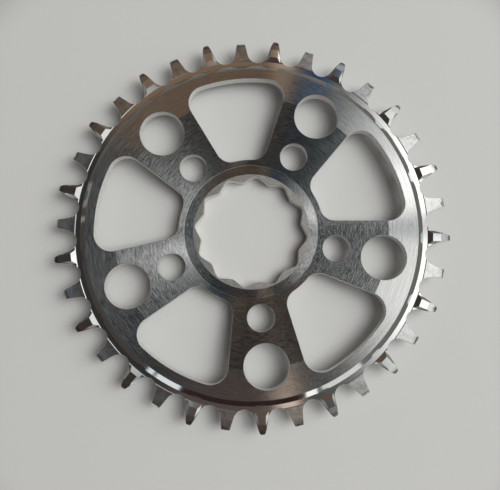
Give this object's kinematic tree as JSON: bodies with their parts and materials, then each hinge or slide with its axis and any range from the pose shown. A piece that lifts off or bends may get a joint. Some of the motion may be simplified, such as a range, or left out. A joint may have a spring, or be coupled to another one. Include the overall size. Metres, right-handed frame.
{
  "type": "bicycle chainring",
  "caption": "Direct mount bicycle chainring: a dished aluminium plate with narrow and wide teeth in turn, open arms with round lightening holes, and a wavy splined bore.",
  "frame": {"origin": "on the ring's axis, in the plane of the hub's back face, which is the face it rests on", "axes": "+Z along the axis towards the dished front face; +X along one arm, whose middle line also passes through a tooth gap and a spline lobe"},
  "size_m": [0.1472, 0.1465, 0.0084],
  "materials": {
    "turned_aluminium": "bright, turned, with fine rings about the axis"
  },
  "bodies": {
    "root": {"chainring": "turned_aluminium"}
  },
  "joints": []
}
